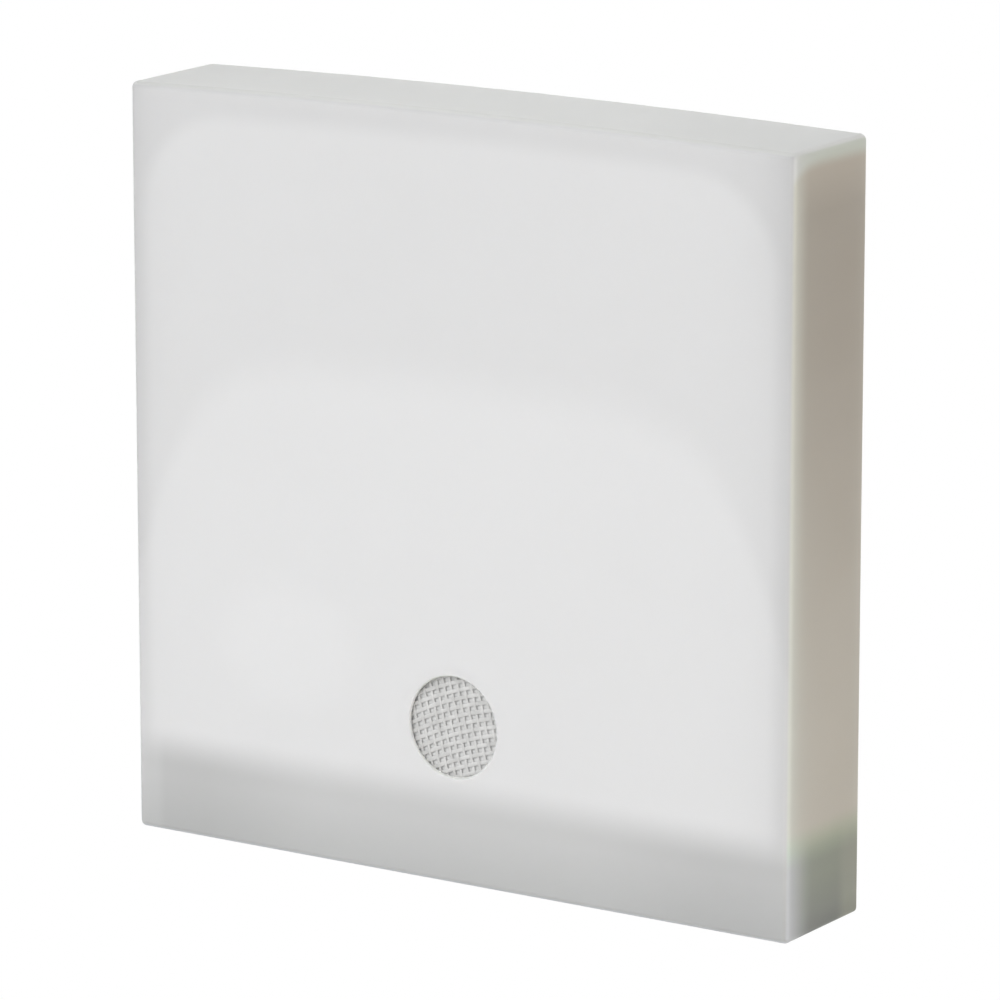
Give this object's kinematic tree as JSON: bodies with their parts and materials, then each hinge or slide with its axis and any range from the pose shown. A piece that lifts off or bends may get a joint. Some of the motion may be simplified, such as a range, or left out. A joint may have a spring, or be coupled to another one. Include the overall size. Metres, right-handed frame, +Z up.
{
  "type": "indoor alarm siren",
  "caption": "Slim square opal wall siren with a round wire-mesh sound outlet low on its face and a wall plate behind.",
  "frame": {"origin": "middle of the back, on the wall", "axes": "+X to the right seen from the front, +Y into the wall, +Z up; the face looks along -Y"},
  "size_m": [0.12, 0.0221, 0.1209],
  "materials": {
    "opal_shell": "satin translucent",
    "white_plastic": "fine texture",
    "wire_mesh": "woven wire",
    "white_ring": "satin",
    "membrane_white": "microporous film",
    "foam": "closed cell",
    "black_plastic": "moulded",
    "component_black": "moulded",
    "brass_disc": "rolled",
    "piezo_white": "silvered",
    "tinned_metal": "tinned",
    "screw_steel": "zinc plated",
    "board_green": "solder mask",
    "cell_wrap": "printed sleeve left plain",
    "ferrite": "fired",
    "copper_winding": "enamelled",
    "antenna_sleeve": "drawn",
    "capacitor_sleeve": "shrink sleeve",
    "lamp_body": "moulded",
    "plunger_white": "moulded"
  },
  "bodies": {
    "housing": {"acoustic_membrane": "membrane_white", "antenna_wire": "antenna_sleeve", "battery_1": "cell_wrap", "battery_2": "cell_wrap", "battery_3": "cell_wrap", "battery_4": "cell_wrap", "battery_bridge_1": "tinned_metal", "battery_bridge_2": "tinned_metal", "battery_link": "tinned_metal", "battery_terminal_negative": "tinned_metal", "battery_terminal_positive": "tinned_metal", "board_screws": "screw_steel", "capacitor_1": "capacitor_sleeve", "capacitor_2": "capacitor_sleeve", "chassis": "white_plastic", "cover_screws": "screw_steel", "diode_1": "component_black", "diode_2": "component_black", "driver_chip": "black_plastic", "driver_transistor_1": "component_black", "driver_transistor_2": "component_black", "flash_led_1": "lamp_body", "flash_led_2": "lamp_body", "flash_led_3": "lamp_body", "flash_led_4": "lamp_body", "front_cover": "opal_shell", "learn_switch": "black_plastic", "main_board": "board_green", "mesh_ring": "white_ring", "microcontroller": "black_plastic", "piezo_ceramic": "piezo_white", "piezo_disc": "brass_disc", "radio_board": "board_green", "radio_shield": "tinned_metal", "sounder_cap": "black_plastic", "sounder_case": "black_plastic", "sounder_gasket": "foam", "sounder_mesh": "wire_mesh", "sounder_pins": "tinned_metal", "step_up_core": "ferrite", "step_up_winding": "copper_winding", "tamper_switch": "black_plastic", "wall_plate": "white_plastic"},
    "tamper_plunger": {"tamper_plunger": "plunger_white"},
    "learn_button": {"learn_button": "plunger_white"}
  },
  "joints": [
    {"name": "tamper_press", "type": "slide", "parent": "housing", "child": "tamper_plunger", "axis": [0, -1, 0], "range_m": [0, 0.0015], "stiffness_N_per_m": 300, "springref_m": -0.001},
    {"name": "learn_press", "type": "slide", "parent": "housing", "child": "learn_button", "axis": [0, -1, 0], "range_m": [0, 0.00025], "stiffness_N_per_m": 1500, "springref_m": -0.0004}
  ]
}
